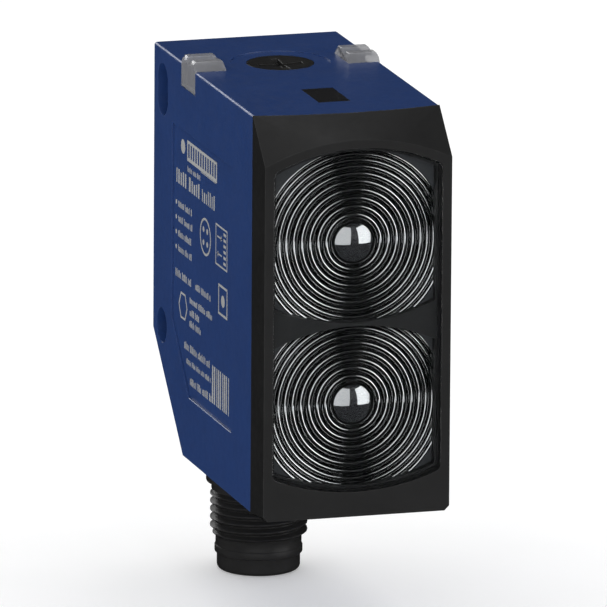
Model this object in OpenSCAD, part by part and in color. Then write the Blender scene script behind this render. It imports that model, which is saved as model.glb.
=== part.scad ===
// Compact photoelectric sensor: blue housing, black front cover, clear window over two grooved
// lenses, a range adjuster and light pipes on top, and a four-pin M12 plug that swivels.
// Origin: centre of the lower mounting hole, on the middle plane. The sensor looks along -Y, +Z is up.
// Every module works from the middle of the bottom edge at the front seam; placed() moves it.

/* [Housing] */
// Width across the side faces
body_w = 23.4; // [23.2:0.1:24]
// Height without the light pipes
body_h = 48.9; // [48.7:0.1:49.4]
// Depth from the seam of the front cover to the rear face
body_d = 42.3; // [42:0.1:43]
// Wall at the sides, rear and bottom
wall = 1.8; // [1.6:0.1:2]
// Wall at the top
top_wall = 2.0; // [1.8:0.1:2.2]
// Leg of the 45 degree corner that carries the plug
slant_leg = 13.2; // [13:0.1:13.4]
// Wall of the 45 degree corner
slant_wall = 2.4; // [2.2:0.1:2.5]
// Radius along the two long top edges
edge_r = 0.35; // [0.2:0.05:0.5]
// Depth of the label recess on the left side
label_depth = 0.25; // [0.1:0.05:0.4]

/* [Mounting] */
// Radius of the lower hole, and half the width of the slot
hole_r = 2.15; // [2.0:0.05:2.2]
// Distance of the hole and slot behind the seam
hole_y = 38.5; // [38.3:0.1:38.8]
// Height of the hole
hole_z = 14.2; // [14:0.1:14.5]
// Height of the middle of the slot
slot_z = 43.8; // [43.5:0.1:44]
// Length of the slot
slot_len = 6.5; // [6:0.1:6.8]

/* [Front cover] */
// Depth of the cover at its sides
cover_d = 5.4; // [5.2:0.1:5.8]
// How far the seam bulges forward in the middle
seam_bulge = 1.4; // [1.2:0.1:1.6]
// Height of the top edge of the front face at its corners
face_corner_z = 43.65; // [43.3:0.05:44]
// Rise of that edge in the middle
face_rise = 2.75; // [2.4:0.05:3]
// Radius of the lower corners
foot_r = 0.6; // [0.3:0.1:1]

/* [Window] */
// Width of the pane
window_w = 21.1; // [20.9:0.1:21.3]
// Thickness of the pane
window_t = 1.0; // [0.8:0.1:1.5]
// Lowest point of the pane, in the middle
window_low = 3.06; // [2.8:0.02:3.4]
// Highest point of the pane, in the middle
window_high = 45.36; // [45:0.02:45.5]
// Rise of the lower and upper edges from corner to middle
window_rises = [2.14, 2.46]; // [2:0.02:2.6]
// Width of the ledge behind the pane
ledge = 0.2; // [0.15:0.05:0.3]

/* [Lenses] */
// Heights of the emitter lens and the receiver lens
lens_heights = [33.42, 13.51]; // [13:0.01:34]
// Height at which the two lenses meet
lens_split = 23.5; // [23.3:0.1:23.7]
// Rise of the arcs between the two lenses
split_rise = 2.2; // [2:0.1:2.4]
// Radius of the central dome
dome_r = 2.35; // [2.2:0.05:2.8]
// Height of the central dome
dome_h = 0.64; // [0.5:0.02:0.9]
// Number of grooves
groove_count = 10; // [8:1:10]
// Depth of a groove
groove_depth = 0.4; // [0.2:0.05:0.5]
// Widest groove
groove_pitch = 1.02; // [1:0.02:1.1]
// Growth of the square of the radius from groove to groove, where they narrow
groove_area = 15.2; // [15:0.1:16]

/* [Adjuster] */
// Distance of the adjuster behind the seam
adjuster_y = 27.7; // [27.5:0.1:27.9]
// Radius of its head
head_r = 4.1; // [4:0.05:4.15]
// Radius of the shallow dish around it
dish_r = 6.1; // [5.8:0.1:6.3]
// Width of the cross slot
slot_w = 0.9; // [0.8:0.1:1]

/* [Light pipes] */
// First and last point of the pipes behind the seam
pipe_y = [24.5, 30.6]; // [24:0.1:31]
// How far the pipes stand above the top
pipe_rise = 1.1; // [0.9:0.1:1.2]
// Lowest point of the pipes on the sides
pipe_low = 45.95; // [45.8:0.05:46.3]

/* [Plug] */
// Radius over the thread crests
thread_r = 6.0; // [5.9:0.1:6.0]
// Pitch of the thread
thread_pitch = 1.0; // [0.9:0.1:1]
// Number of crests
thread_turns = 5; // [4:1:5]
// Radius of the collar
collar_r = 6.5; // [6.4:0.05:6.55]
// Radius of the tip
tip_r = 5.13; // [5.0:0.01:5.3]
// Radius of the swivel journal
journal_r = 3.6; // [3.5:0.05:3.6]
// Radius of the cup that holds the pins
cup_r = 4.25; // [4.2:0.05:4.3]
// Radius of a contact pin
pin_r = 0.5; // [0.4:0.05:0.5]
// Radius of the circle that the pins stand on
pin_circle_r = 2.0; // [1.9:0.1:2.1]

/* [Hidden] */
$fn = 72;

// More than any size of the part: how far a cut runs past what it cuts
past = 1;
far = 60;
// Radial clearance of a running fit, and the gap between faces that pass each other
run = 0.05;
face_gap = 0.15;

// Front cover and window
seam_r = arc_radius(body_w / 2, seam_bulge);
front_y = -cover_d;
window_back = front_y + window_t;
opening_w = window_w - 2 * ledge;
face_steps = 24;

// Lens stack, from front to back
mask_y = -4.3;
groove_y = -3.45;
flange_y = -2.6;
lens_back = -0.6;
insert_w = opening_w - 0.1;
mask_side = 0.25;
split_gap = 0.2;

// Optics block and boards
block_w = 18;
block_low = 2.8;
block_top = 45.3;
block_back = 18;
tunnel_front_r = 8.3;
tunnel_back_r = 2.6;
board_t = 1.2;
main_board_x = 5;
main_board_y = [20.4, 34.4];
main_board_z = [16, 41.2];
shelf_z = 42;
shelf_t = 1;
shelf_y = [21.5, 34.4];
shelf_w = 19.4;

// Swivel: middle of the slanted face
swivel_y = body_d - slant_leg / 2;
swivel_z = slant_leg / 2;
swivel_tilt = 225;
journal_bore_r = 2.3;
lead_way_r = 2.0;
journal_end = -3.7;
stop_r = 5.4;
stop_pin_r = 0.45;
stop_groove_w = 1.0;
stop_depth = 0.8;
stop_from = -6.5;
stop_sweep = 283;
stop_pin_gap = 0.15;

// Grooves of the journal, for the O-ring and the clip: lower edge, height and depth
seal_groove = [-1.8, 0.75, 0.55];
clip_groove = [-3.15, 0.6, 0.4];

// Plug heights, from the collar down
collar_low = -5.4;
shoulder_r = 5.95;
shoulder_low = -6.4;
first_crest = -7.3;
thread_root_r = thread_r - 0.61 * thread_pitch;
thread_foot = 0.44 * thread_pitch;
crest_flat = thread_pitch / 8;
neck_r = 5.3;
neck_top = -12.3;
ridge_r = 5.42;
ridge_top = -13.4;
ridge_low = -14.4;
ridge_slope_h = 0.1;
shoulder_slope = 0.3;
tip_low = -16.5;
tip_round = 0.6;
cup_top = 0.9;
carrier_z = [-7.5, -1.0];
pin_z = [-14.2, -0.4];

// Adjuster heights, from the top down
dish_z = body_h - 0.15;
pocket_z = body_h - 1.6;
boss_z = body_h - 3.2;
boss_r = 5;
head_z = [pocket_z + 0.1, dish_z];
stem_r = 1.7;
adjuster_clip_z = boss_z - 0.15;
clip_t = 0.4;
stem_clip_dip = 0.4;
head_seal_z = head_z[0] + 0.7;
head_seal_h = 0.7;
head_seal_dip = 0.7;
seal_gap = 0.03;
trimmer_z = [shelf_z + shelf_t, shelf_z + shelf_t + 1.9];
rotor_r = 2.55;
rotor_low = trimmer_z[0] + 0.9;
rotor_slot_z = rotor_low + 0.3;

// Dark insert in the top, and the tongues that hold the front cover in the housing
insert_x = 2;
insert_y = [4.76, 12.3];
tongue_w = 15;
tongue_t = 0.8;
tongue_end = 1;

// Light pipes: inner face and leg, the lip over the side, and the valley between two ridges
pipe_in = 7.7;
leg_out = 9.7;
leg_low = shelf_z + 2.4;
lip_t = 0.8;
pipe_seat = body_h - 0.5;
ridge_slope = 0.7;
valley_w = 0.85;
valley_z = body_h + 0.1;

// Radius of the arc that rises by rise over a chord of twice half_w
function arc_radius(half_w, rise) = (half_w * half_w + rise * rise) / (2 * rise);

// Height of that arc above its chord, at x
function arc_height(half_w, rise, x) =
    let (r = arc_radius(half_w, rise)) sqrt(r * r - x * x) - (r - rise);

// Radii of the grooves: an even pitch, then an even area
function next_groove(r) = min(r + groove_pitch, sqrt(r * r + groove_area));
function grooves(r, count) = count == 0 ? [r] : concat([r], grooves(next_groove(r), count - 1));

function unit(v) = v / norm(v);

module placed() {
    translate([0, -hole_y, -hole_z]) children();
}

// Extrudes a side view, given as depth and height, evenly across the width
module across(width) {
    rotate([90, 0, 90]) linear_extrude(width, center = true) children();
}

// Extrudes a front view, given as width and height, from y_front to y_back
module from_front(y_front, y_back) {
    translate([0, y_back, 0]) rotate([90, 0, 0]) linear_extrude(y_back - y_front) children();
}

// Local +Z points out of the slanted face, along the swivel axis
module at_swivel() {
    translate([0, swivel_y, swivel_z]) rotate([swivel_tilt, 0, 0]) children();
}

module ring(outer_r, inner_r, height) {
    difference() {
        cylinder(r = outer_r, h = height);
        translate([0, 0, -past]) cylinder(r = inner_r, h = height + 2 * past);
    }
}

module torus(centre_r, tube_r) {
    rotate_extrude() translate([centre_r, 0]) circle(tube_r, $fn = 32);
}

// A strand of even radius through the given points
module strand(path, r) {
    sides = 8;
    last = len(path) - 1;
    corners = [for (k = [0 : last])
        let (along = unit(path[min(k + 1, last)] - path[max(k - 1, 0)]))
        let (u = unit(cross(along, [1, 0, 0])))
        let (v = cross(along, u))
        for (s = [0 : sides - 1]) path[k] + r * (cos(360 * s / sides) * u + sin(360 * s / sides) * v)];
    ends = [[for (s = [0 : sides - 1]) s], [for (s = [sides - 1 : -1 : 0]) last * sides + s]];
    skin = [for (k = [0 : last - 1], s = [0 : sides - 1], half = [0, 1])
        let (a = k * sides + s)
        let (b = k * sides + (s + 1) % sides)
        half == 0 ? [a, a + sides, b] : [b, a + sides, b + sides]];
    polyhedron(corners, concat(ends, skin));
}

// Flat shape with straight sides and an arc at the bottom and the top
module barrel(width, low, low_rise, high, high_rise) {
    low_r = arc_radius(width / 2, abs(low_rise));
    high_r = arc_radius(width / 2, abs(high_rise));
    intersection() {
        translate([-width / 2, low]) square([width, high - low]);
        translate([0, low + low_r]) circle(low_r, $fn = 180);
        translate([0, high - high_r]) circle(high_r, $fn = 180);
    }
}

// Outline of the window, drawn in by inset on every side
module window_outline(inset) {
    barrel(window_w - 2 * inset, window_low + inset, window_rises[0],
        window_high - inset, window_rises[1]);
}

// ---- Housing and front ----

module side_profile() {
    polygon([
        [-seam_bulge, 0],
        [body_d - slant_leg, 0],
        [body_d, slant_leg],
        [body_d, body_h],
        [-seam_bulge, body_h]
    ]);
}

module cavity_profile() {
    slant_in = slant_wall * sqrt(2);
    polygon([
        [-far, wall],
        [body_d - slant_leg + wall - slant_in, wall],
        [body_d - wall, slant_leg - wall + slant_in],
        [body_d - wall, body_h - top_wall],
        [-far, body_h - top_wall]
    ]);
}

module rounded_top(width, height, r) {
    translate([-width / 2, 0]) square([width, height - r]);
    translate([-width / 2 + r, 0]) square([width - 2 * r, height]);
    for (side = [-1, 1]) {
        translate([side * (width / 2 - r), height - r]) circle(r);
    }
}

module stadium(r, length) {
    square([2 * r, length - 2 * r], center = true);
    for (end = [-1, 1]) {
        translate([0, end * (length / 2 - r)]) circle(r);
    }
}

// Solid of everything behind the curved seam
module behind_seam(shift) {
    translate([0, seam_r - seam_bulge + shift, -past]) cylinder(r = seam_r, h = body_h + 2 * past, $fn = 360);
}

// Outline of the label recess, as depth and height
module label_outline() {
    polygon([[8.4, 7.8], [26.7, 7.8], [34.3, 16.4], [34.3, 40.6], [8.4, 40.6]]);
}

module mounting_walls() {
    tube_wall = 0.75;
    across(body_w - wall) {
        translate([hole_y, hole_z]) circle(hole_r + tube_wall);
        translate([hole_y, slot_z]) stadium(hole_r + tube_wall, slot_len + 2 * tube_wall);
    }
}

module mounting_holes() {
    across(body_w + 2 * past) {
        translate([hole_y, hole_z]) circle(hole_r);
        translate([hole_y, slot_z]) stadium(hole_r, slot_len);
    }
}

module adjuster_pocket() {
    translate([0, adjuster_y, 0]) {
        translate([0, 0, dish_z]) cylinder(r = dish_r, h = past);
        translate([0, 0, pocket_z]) cylinder(r = head_r + 0.08, h = far);
        translate([0, 0, boss_z - past]) cylinder(r = stem_r + run, h = far);
    }
}

module stop_groove() {
    translate([0, 0, -stop_depth]) rotate([0, 0, stop_from]) rotate_extrude(angle = stop_sweep) {
        translate([stop_r - stop_groove_w / 2, 0]) square([stop_groove_w, stop_depth + past]);
    }
}

module housing() {
    color("midnightblue") placed() difference() {
        union() {
            difference() {
                intersection() {
                    across(body_w) side_profile();
                    behind_seam(0);
                    from_front(-far, far) rounded_top(body_w, body_h, edge_r);
                }
                across(body_w - 2 * wall) cavity_profile();
            }
            mounting_walls();
            translate([0, adjuster_y, boss_z]) cylinder(r = boss_r, h = body_h - boss_z - past);
        }
        mounting_holes();
        adjuster_pocket();
        light_pipe(-1);
        light_pipe(1);
        top_insert();
        at_swivel() {
            translate([0, 0, -slant_wall - past]) {
                cylinder(r = journal_r + run, h = slant_wall + 2 * past);
            }
            stop_groove();
        }
        translate([-body_w / 2, 0, 0]) across(2 * label_depth) label_outline();
    }
}

module cover_face() {
    half = body_w / 2;
    polygon(concat(
        [[-half, foot_r], [-half + foot_r, 0], [half - foot_r, 0], [half, foot_r]],
        [for (i = [0 : face_steps]) let (x = half - body_w * i / face_steps)
            [x, face_corner_z + arc_height(half, face_rise, x)]]
    ));
}

module seam_sliver() {
    half = body_w / 2;
    polygon([for (i = [0 : face_steps]) let (x = half - body_w * i / face_steps)
        [x, -arc_height(half, seam_bulge, x)]]);
}

module cover_tongue(height) {
    tongue_front = -seam_bulge - past;
    translate([-tongue_w / 2, tongue_front, height]) cube([tongue_w, tongue_end - tongue_front, tongue_t]);
}

module front_bezel() {
    tongue_gap = 0.05;
    face_plate = 0.05;
    color("dimgray") placed() difference() {
        union() {
            difference() {
                hull() {
                    from_front(front_y, front_y + face_plate) cover_face();
                    linear_extrude(body_h) seam_sliver();
                }
                behind_seam(0);
            }
            cover_tongue(wall + tongue_gap);
            cover_tongue(body_h - top_wall - tongue_gap - tongue_t);
        }
        from_front(front_y - past, window_back) window_outline(0);
        from_front(window_back - past, far) window_outline(ledge);
    }
}

module front_window() {
    color("lightblue", 0.4) placed() from_front(front_y, window_back) window_outline(0);
}

// Front outline of one lens, drawn in by inset: 1 is the upper lens, -1 the lower
module lens_outline(upper, inset) {
    width = insert_w - 2 * mask_side - 2 * inset;
    edge = ledge + 0.05 + mask_side + inset;
    if (upper > 0) {
        barrel(width, lens_split + split_gap + inset, split_rise, window_high - edge, window_rises[1]);
    } else {
        barrel(width, window_low + edge, window_rises[0], lens_split - split_gap - inset, split_rise);
    }
}

module lens_mask() {
    color("black") placed() difference() {
        from_front(mask_y, flange_y) window_outline(ledge + 0.05);
        for (upper = [-1, 1]) {
            from_front(mask_y - past, flange_y + past) lens_outline(upper, 0);
        }
    }
}

// Section of the grooved face, from the axis out: a dome and then falling facets
module groove_profile(back) {
    radii = grooves(dome_r, groove_count);
    dome_sphere = arc_radius(dome_r, dome_h);
    intersection() {
        translate([0, dome_h - dome_sphere]) circle(dome_sphere, $fn = 180);
        translate([0, -back]) square([dome_r, back + dome_h]);
    }
    polygon(concat(
        [[0, -back], [far / 4, -back], [far / 4, 0], [radii[groove_count], 0]],
        [for (i = [groove_count : -1 : 1], step = [0, 1])
            step == 0 ? [radii[i], -groove_depth] : [radii[i - 1], 0]],
        [[0, 0]]
    ));
}

module lens(upper) {
    depth = lens_back - groove_y;
    intersection() {
        union() {
            from_front(groove_y - dome_h - past, lens_back) lens_outline(upper, 0.03);
            from_front(flange_y, lens_back) intersection() {
                window_outline(ledge + 0.05);
                translate([-far, upper > 0 ? lens_split + 0.05 : lens_split - 0.05 - far]) {
                    square([2 * far, far]);
                }
            }
        }
        translate([0, groove_y, lens_heights[upper > 0 ? 0 : 1]]) rotate([90, 0, 0]) {
            rotate_extrude($fn = 120) groove_profile(depth);
        }
    }
}

module emitter_lens() {
    color("gainsboro", 0.6) placed() lens(1);
}

module receiver_lens() {
    color("gainsboro", 0.6) placed() lens(-1);
}

module top_insert() {
    translate([-insert_x, insert_y[0], body_h - top_wall]) {
        cube([2 * insert_x, insert_y[1] - insert_y[0], top_wall]);
    }
}

module top_window() {
    color("#181818") placed() top_insert();
}

// ---- Light pipes ----

// Depth and height of the pipe: two ridges above the top
module pipe_profile() {
    high = body_h + pipe_rise;
    middle = (pipe_y[0] + pipe_y[1]) / 2;
    polygon([
        [pipe_y[0], shelf_z], [pipe_y[0], body_h],
        [pipe_y[0] + ridge_slope, high], [middle - valley_w, high],
        [middle, valley_z],
        [middle + valley_w, high], [pipe_y[1] - ridge_slope, high],
        [pipe_y[1], body_h], [pipe_y[1], shelf_z]
    ]);
}

// Width and height of the pipe, with a lip over the side and a leg down to its lamp
module pipe_section() {
    side = body_w / 2;
    high = body_h + pipe_rise;
    slopes = 0.3;
    polygon([
        [pipe_in, leg_low], [leg_out, leg_low], [leg_out, pipe_seat],
        [side - lip_t, pipe_seat], [side - lip_t, pipe_low], [side, pipe_low],
        [side, high - 2 * slopes], [side - slopes, high],
        [pipe_in + slopes, high], [pipe_in, body_h]
    ]);
}

module light_pipe(side) {
    mirror([side < 0 ? 1 : 0, 0, 0]) intersection() {
        from_front(pipe_y[0], pipe_y[1]) pipe_section();
        across(far) pipe_profile();
    }
}

module light_pipe_left() {
    color("silver", 0.7) placed() light_pipe(-1);
}

module light_pipe_right() {
    color("silver", 0.7) placed() light_pipe(1);
}

// ---- Optics and electronics ----

// The space of one light tunnel, or its outside when grown by its wall
module tunnel(height, grow) {
    translate([0, lens_back, height]) rotate([-90, 0, 0]) {
        cylinder(r1 = tunnel_front_r + grow, r2 = tunnel_back_r + grow, h = block_back - lens_back);
    }
}

module block_plate(width, y_front, y_back) {
    from_front(y_front, y_back) {
        translate([-width / 2, block_low]) square([width, block_top - block_low]);
    }
}

module optics_block() {
    tunnel_wall = 0.8;
    front_plate = 3;
    back_plate = 1.6;
    web = 1.2;
    color("#222222") placed() difference() {
        union() {
            block_plate(block_w, lens_back, lens_back + front_plate);
            block_plate(block_w, block_back - back_plate, block_back);
            block_plate(web, lens_back, block_back);
            for (height = lens_heights) {
                tunnel(height, tunnel_wall);
            }
        }
        for (height = lens_heights) {
            tunnel(height, 0);
            translate([0, -past * 2, height]) rotate([-90, 0, 0]) cylinder(r = tunnel_back_r, h = far);
        }
    }
}

module optics_board() {
    color("darkgreen") placed() from_front(block_back, block_back + board_t) {
        translate([-block_w / 2, block_low + 1]) square([block_w, block_top - block_low - 2]);
    }
}

// A square package with a round dome, on the front of the optics board
module optical_package(height, size, thickness, dome) {
    translate([0, block_back, height]) rotate([90, 0, 0]) {
        translate([-size / 2, -size / 2, 0]) cube([size, size, thickness]);
        intersection() {
            translate([0, 0, thickness]) sphere(dome);
            translate([-dome, -dome, 0]) cube([2 * dome, 2 * dome, thickness + dome]);
        }
    }
}

module emitter_led() {
    color("lightgoldenrodyellow") placed() optical_package(lens_heights[0], 3.0, 0.9, 1.2);
}

module receiver_photodiode() {
    color("#302020") placed() optical_package(lens_heights[1], 3.4, 1.1, 0.9);
}

module main_board() {
    color("darkgreen") placed() {
        translate([main_board_x, main_board_y[0], main_board_z[0]]) {
            cube([board_t, main_board_y[1] - main_board_y[0], main_board_z[1] - main_board_z[0]]);
        }
    }
}

// A chip with legs on two sides, lying on the inner face of the main board
module chip(y, z, depth, height, legs) {
    thickness = 1.1;
    leg = [0.5, 0.8, 0.3];
    bite = 0.1;
    pitch = height / (legs + 1);
    translate([main_board_x, y, z]) {
        translate([-thickness, -depth / 2, -height / 2]) cube([thickness, depth, height]);
        for (side = [-1, 1], i = [1 : legs]) {
            leg_y = side * ((depth + leg[1]) / 2 - bite) - leg[1] / 2;
            translate([-leg[0], leg_y, -height / 2 + i * pitch - leg[2] / 2]) cube(leg);
        }
    }
}

module processor_chip() {
    color("#202020") placed() chip(27.5, 32, 6, 7, 8);
}

module output_driver() {
    color("#202020") placed() chip(27.5, 22, 4, 5, 4);
}

module board_capacitors() {
    size = [0.9, 1.2, 1.4];
    color("tan") placed() for (z = [17.4, 25, 27, 36.6, 38.6], y = [22.5, 31.3]) {
        translate([main_board_x - size[0], y, z]) cube(size);
    }
}

module board_header() {
    pins = 6;
    pitch = 2;
    gap = 0.1;
    low = 20;
    depth = 2.8;
    inner_x = 2.6;
    color("black") placed() for (i = [0 : pins - 1]) {
        translate([inner_x, block_back + board_t, low + pitch * i]) {
            cube([main_board_x - inner_x, depth, pitch - gap]);
        }
    }
}

module indicator_board() {
    color("darkgreen") placed() difference() {
        translate([-shelf_w / 2, shelf_y[0], shelf_z]) {
            cube([shelf_w, shelf_y[1] - shelf_y[0], shelf_t]);
        }
        translate([0, adjuster_y, shelf_z - past]) cylinder(r = 1, h = shelf_t + 2 * past);
    }
}

module indicator_led(side) {
    base = [1.6, 2.8, 0.5];
    resin = [1.2, 1.8, 0.4];
    translate([side * (pipe_in + leg_out) / 2, adjuster_y, shelf_z + shelf_t]) {
        translate([-base[0] / 2, -base[1] / 2, 0]) cube(base);
        translate([-resin[0] / 2, -resin[1] / 2, base[2]]) cube(resin);
    }
}

module indicator_led_left() {
    color("palegreen") placed() indicator_led(-1);
}

module indicator_led_right() {
    color("gold") placed() indicator_led(1);
}

// ---- Adjuster ----

module trimmer_body() {
    size = 6.4;
    floor_t = 0.8;
    color("steelblue") placed() translate([0, adjuster_y, trimmer_z[0]]) difference() {
        translate([-size / 2, -size / 2, 0]) cube([size, size, trimmer_z[1] - trimmer_z[0]]);
        translate([0, 0, floor_t]) cylinder(r = rotor_r + run, h = far);
    }
}

module blade(length, thickness, height) {
    translate([-length / 2, -thickness / 2, 0]) cube([length, thickness, height]);
}

module trimmer_rotor() {
    rotor_t = 0.95;
    slot = [2.8, 0.8];
    color("ivory") placed() translate([0, adjuster_y, 0]) difference() {
        translate([0, 0, rotor_low]) cylinder(r = rotor_r, h = rotor_t);
        translate([0, 0, rotor_slot_z]) blade(slot[0], slot[1], past);
    }
}

module range_adjuster() {
    head_h = head_z[1] - head_z[0];
    cross = [5.6, slot_w, 0.75];
    tongue = [2.7, 0.7];
    stem_low = trimmer_z[1] + 0.05;
    dish_sphere = 30;
    dish_dip = 0.25;
    color("#1c1c1c") placed() translate([0, adjuster_y, 0]) difference() {
        union() {
            translate([0, 0, head_z[0]]) cylinder(r = head_r, h = head_h);
            translate([0, 0, stem_low]) cylinder(r = stem_r, h = head_z[0] - stem_low + past / 2);
            translate([0, 0, rotor_slot_z + run]) blade(tongue[0], tongue[1], past);
        }
        translate([0, 0, head_z[1] + dish_sphere - dish_dip]) sphere(dish_sphere, $fn = 180);
        for (turn = [0, 90]) {
            rotate([0, 0, turn]) translate([0, 0, head_z[1] - cross[2]]) blade(cross[0], cross[1], past);
        }
        translate([0, 0, head_seal_z - head_seal_h / 2]) {
            ring(head_r + past, head_r - head_seal_dip, head_seal_h);
        }
        translate([0, 0, adjuster_clip_z - clip_t - run]) {
            ring(stem_r + past, stem_r - stem_clip_dip, clip_t + 2 * run);
        }
    }
}

module adjuster_oring() {
    tube_r = 0.32;
    color("#101010") placed() {
        translate([0, adjuster_y, head_seal_z]) torus(head_r - head_seal_dip + tube_r + seal_gap, tube_r);
    }
}

module clip_ring(outer_r, inner_r, thickness) {
    difference() {
        ring(outer_r, inner_r, thickness);
        translate([0, -inner_r * 0.6, -past]) cube([outer_r + past, inner_r * 1.2, thickness + 2 * past]);
    }
}

module adjuster_clip() {
    reach = 1.1;
    color("silver") placed() translate([0, adjuster_y, adjuster_clip_z - clip_t]) {
        clip_ring(stem_r + reach, stem_r - stem_clip_dip, clip_t);
    }
}

// ---- Swivelling plug ----

// Half section of the plug below the slanted cut: radius and height
module plug_section() {
    polygon(concat(
        [[0, tip_low + tip_round], [tip_r, tip_low + tip_round], [tip_r, ridge_low]],
        [[ridge_r, ridge_low + ridge_slope_h], [ridge_r, ridge_top - ridge_slope_h], [neck_r, ridge_top]],
        [[neck_r, neck_top], [thread_root_r, neck_top + ridge_slope_h]],
        [for (i = [thread_turns - 1 : -1 : 0], corner = [0 : 3])
            let (crest = first_crest - i * thread_pitch)
            [corner == 0 || corner == 3 ? thread_root_r : thread_r,
                crest + [-thread_foot, -crest_flat / 2, crest_flat / 2, thread_foot][corner]]],
        [[thread_root_r, shoulder_low - shoulder_slope], [shoulder_r, shoulder_low]],
        [[shoulder_r, collar_low]],
        [[collar_r, collar_low], [collar_r, slant_leg + past], [0, slant_leg + past]]
    ));
    translate([0, tip_low]) square([tip_r - tip_round, 2 * tip_round]);
    translate([tip_r - tip_round, tip_low + tip_round]) circle(tip_round, $fn = 48);
}

module plug_hub() {
    translate([0, 0, journal_end]) cylinder(r = journal_r, h = face_gap - journal_end + past / 2);
    rotate([0, 0, 90]) translate([stop_r, 0, stop_pin_gap - stop_depth]) {
        cylinder(r = stop_pin_r, h = stop_depth + past / 2);
    }
}

module plug_hub_grooves() {
    for (groove = [seal_groove, clip_groove]) {
        translate([0, 0, groove[0]]) ring(journal_r + past, journal_r - groove[2], groove[1]);
    }
}

module connector_shell() {
    key_r = 0.65;
    key_len = 6.5;
    color("#202020") placed() difference() {
        union() {
            intersection() {
                translate([0, swivel_y, 0]) rotate_extrude($fn = 120) plug_section();
                at_swivel() translate([-far / 2, -far / 2, face_gap]) cube(far);
            }
            at_swivel() plug_hub();
        }
        translate([0, swivel_y, 0]) {
            difference() {
                translate([0, 0, tip_low - past]) cylinder(r = cup_r, h = cup_top - tip_low + past);
                translate([0, -cup_r, carrier_z[0] - key_len]) cylinder(r = key_r, h = key_len);
            }
            cylinder(r = lead_way_r, h = swivel_z + past / 2);
        }
        at_swivel() {
            translate([0, 0, journal_end - past]) cylinder(r = journal_bore_r, h = 2 * past - journal_end);
            plug_hub_grooves();
        }
    }
}

module swivel_oring() {
    tube_r = 0.25;
    color("#101010") placed() {
        at_swivel() translate([0, 0, seal_groove[0] + seal_groove[1] / 2]) {
            torus(journal_r - seal_groove[2] + tube_r + seal_gap, tube_r);
        }
    }
}

module swivel_clip() {
    reach = 0.55;
    color("silver") placed() at_swivel() translate([0, 0, clip_groove[0] + run]) {
        clip_ring(journal_r + reach, journal_r - clip_groove[2], clip_groove[1] - 2 * run);
    }
}

// Middle of contact i, of the four
function contact_x(i) = pin_circle_r * cos(45 + 90 * i);
function contact_y(i) = swivel_y + pin_circle_r * sin(45 + 90 * i);

module contact_pin(i) {
    translate([contact_x(i), contact_y(i), 0]) {
        translate([0, 0, pin_z[0] + pin_r]) cylinder(r = pin_r, h = pin_z[1] - pin_z[0] - pin_r);
        translate([0, 0, pin_z[0] + pin_r]) sphere(pin_r);
    }
}

module contact_carrier() {
    color("#2a2a2a") placed() difference() {
        translate([0, swivel_y, carrier_z[0]]) cylinder(r = cup_r, h = carrier_z[1] - carrier_z[0]);
        for (i = [0 : 3]) {
            contact_pin(i);
        }
    }
}

module contact_pin_1() {
    color("gold") placed() contact_pin(0);
}

module contact_pin_2() {
    color("gold") placed() contact_pin(1);
}

module contact_pin_3() {
    color("gold") placed() contact_pin(2);
}

module contact_pin_4() {
    color("gold") placed() contact_pin(3);
}

// Leads: they run close to the swivel axis where the plug turns against the housing
lead_r = 0.32;
lead_spread = 0.7;
lead_break = -4.1;
lead_gap = 0.1;
lead_bend_z = 3.4;
// Share of the contact circle's radius that the leads keep on their way up
lead_in = 0.7;
// Order of the leads along the edge of the main board
lead_order = [1, 0, 2, 3];

// A point on the lead i at a distance out along the swivel axis
function swivel_point(i, out) = [
    lead_spread * cos(45 + 90 * i),
    swivel_y + (out - lead_spread * sin(45 + 90 * i)) / sqrt(2),
    swivel_z - (out + lead_spread * sin(45 + 90 * i)) / sqrt(2)
];

module contact_leads() {
    color("saddlebrown") placed() for (i = [0 : 3]) {
        strand([
            [contact_x(i), contact_y(i), pin_z[1] + lead_r],
            [lead_in * contact_x(i), lead_in * contact_y(i) + (1 - lead_in) * swivel_y, cup_top],
            [lead_in * contact_x(i), lead_in * contact_y(i) + (1 - lead_in) * swivel_y, lead_bend_z],
            swivel_point(3 - i, 0),
            swivel_point(3 - i, lead_break + lead_r)
        ], lead_r);
    }
}

module board_leads() {
    start_run = 1.6;
    bend = [2.2, 28.5, 13.2];
    edge = [main_board_x - lead_r, 28.5, 16.6];
    pitch = 1.2;
    color("saddlebrown") placed() for (i = [0 : 3]) {
        strand([
            swivel_point(i, lead_break - lead_r - lead_gap),
            swivel_point(i, lead_break - start_run),
            bend + [0, lead_order[i], 0],
            edge + [0, pitch * lead_order[i], 0]
        ], lead_r);
    }
}

housing();
front_bezel();
front_window();
lens_mask();
emitter_lens();
receiver_lens();
optics_block();
optics_board();
emitter_led();
receiver_photodiode();
main_board();
processor_chip();
output_driver();
board_capacitors();
board_header();
indicator_board();
indicator_led_left();
indicator_led_right();
light_pipe_left();
light_pipe_right();
top_window();
trimmer_body();
trimmer_rotor();
range_adjuster();
adjuster_oring();
adjuster_clip();
connector_shell();
swivel_oring();
swivel_clip();
contact_carrier();
contact_pin_1();
contact_pin_2();
contact_pin_3();
contact_pin_4();
contact_leads();
board_leads();
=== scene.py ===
"""Looks of a compact photoelectric sensor: every visible piece gets its finished mesh and material.

Pieces are drawn in millimetres from the middle of the bottom edge at the front seam: X across,
Y to the rear, Z up. at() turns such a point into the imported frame, and in_mm() turns it back.
"""

import math
import random

import bmesh
import bpy
import numpy as np
from mathutils import Matrix, Vector


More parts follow.
